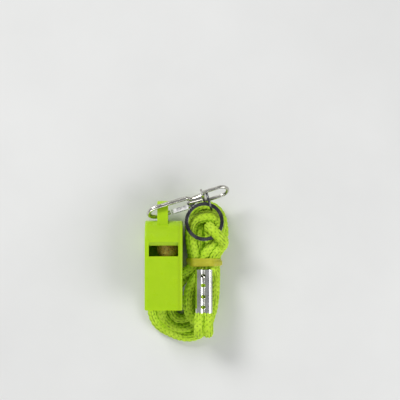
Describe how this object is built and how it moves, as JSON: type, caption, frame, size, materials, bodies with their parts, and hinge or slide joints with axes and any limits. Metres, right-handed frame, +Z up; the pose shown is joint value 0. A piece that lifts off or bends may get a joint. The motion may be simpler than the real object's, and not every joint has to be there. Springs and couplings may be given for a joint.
{
  "type": "training whistle",
  "caption": "Plastic pea whistle on a swivel snap hook, with a split ring and a folded, banded hank of neck cord crimped in a metal sleeve.",
  "frame": {"origin": "bottom centre of the box around the whistle and its metal fittings, on the surface it lies on", "axes": "+Y from the mouthpiece to the hook, +Z up through the window, +X from the whistle to the hank"},
  "size_m": [0.0372, 0.07, 0.0202],
  "materials": {
    "whistle_plastic": "glossy fluorescent yellow-green",
    "cork": "matt granulated cork",
    "hook_metal": "nickel plated",
    "spring_steel": "satin",
    "ring_metal": "nickel plated",
    "cord": "knitted fluorescent cord",
    "ferrule_metal": "bright plated sheet",
    "band_rubber": "matt amber"
  },
  "bodies": {
    "lanyard": {"cord_hank": "cord", "cord_arch": "cord", "cord_tail_a": "cord", "cord_tail_b": "cord", "cord_ends": "cord", "ferrule": "ferrule_metal", "rubber_band": "band_rubber", "split_ring": "ring_metal", "link_ring": "hook_metal", "swivel_bail": "hook_metal", "swivel_stud": "hook_metal"},
    "hook": {"hook_body": "hook_metal", "gate_rivet": "hook_metal"},
    "gate": {"hook_gate": "spring_steel"},
    "whistle": {"whistle_body": "whistle_plastic", "side_cover": "whistle_plastic"},
    "pea_ball": {"pea": "cork"}
  },
  "joints": [
    {"name": "hook_swivel", "type": "hinge", "parent": "lanyard", "child": "hook", "pos_m": [0.00591, 0.02231, 0.01315], "axis": [-0.9553, -0.2957, 0], "range_deg": [0, 18]},
    {"name": "gate_open", "type": "hinge", "parent": "hook", "child": "gate", "pos_m": [0.00151, 0.01912, 0.01035], "axis": [-0.2508, 0.8101, -0.5299], "range_deg": [0, 18], "stiffness_Nm_per_rad": 0.0003, "springref_deg": -8.59},
    {"name": "whistle_lift", "type": "hinge", "parent": "hook", "child": "whistle", "pos_m": [-0.01119, 0.01464, 0.0095], "axis": [-1, 0, 0], "range_deg": [0, 32]},
    {"name": "pea_roll", "type": "hinge", "parent": "whistle", "child": "pea_ball", "pos_m": [-0.01069, 0.00253, 0.0095], "axis": [1, 0, 0], "continuous": true}
  ]
}
